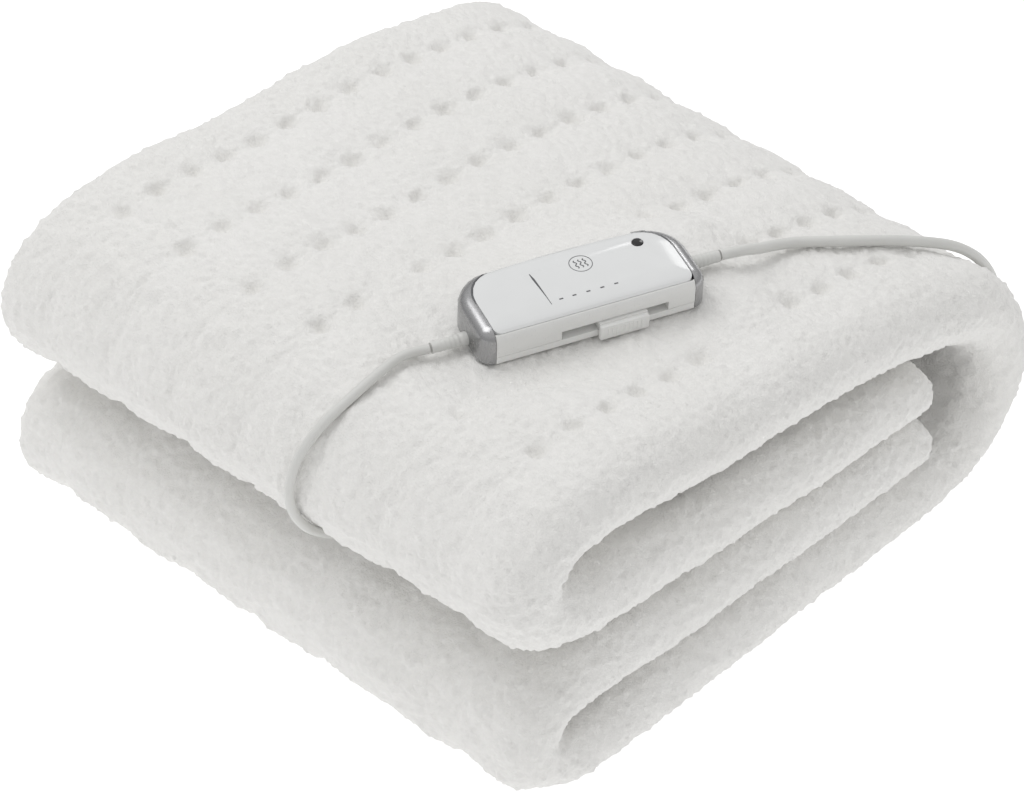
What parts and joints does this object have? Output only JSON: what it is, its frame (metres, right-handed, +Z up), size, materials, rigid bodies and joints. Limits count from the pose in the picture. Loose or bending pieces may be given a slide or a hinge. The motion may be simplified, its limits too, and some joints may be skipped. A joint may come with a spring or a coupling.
{
  "type": "folded electric heated underblanket with slide-switch handset",
  "caption": "Folded fleece underblanket with quilted heating channels, lying flat, with a slide-switch handset on top and its lead and flat plug behind.",
  "frame": {"origin": "middle of the folded blanket's flat underside", "axes": "+Z up, +Y from the two front bulges to the single turn at the back, +X from the slit hems to the fold along the blanket's length"},
  "size_m": [0.3997, 0.527, 0.2168],
  "materials": {
    "fleece": "deep white fleece pile, matt",
    "housing": "moulded white plastic, satin gloss",
    "panel": "moulded pale grey-white plastic, satin",
    "lens": "dark lens, glossy",
    "end_caps": "plated satin silver",
    "switch": "moulded white plastic, ribbed",
    "leads": "pale grey-white flexible sheath",
    "plug": "moulded pale grey-white plastic",
    "pins": "nickel-plated brass"
  },
  "bodies": {
    "root": {"blanket": "fleece", "handset_base": "housing", "handset_cover": "housing", "top_panel": "panel", "indicator_lens": "lens", "end_cap_left": "end_caps", "end_cap_right": "end_caps", "mains_relief": "leads", "blanket_relief": "leads", "mains_lead": "leads", "mains_coil": "leads", "mains_lead_out": "leads", "blanket_lead": "leads", "plug_body": "plug", "plug_pin_1": "pins", "plug_pin_2": "pins"},
    "slider": {"switch_slider": "switch"}
  },
  "joints": [
    {"name": "switch_slide", "type": "slide", "parent": "root", "child": "slider", "axis": [0.3875, 0.9218, 0.0087], "range_m": [-0.02, 0.012]}
  ]
}
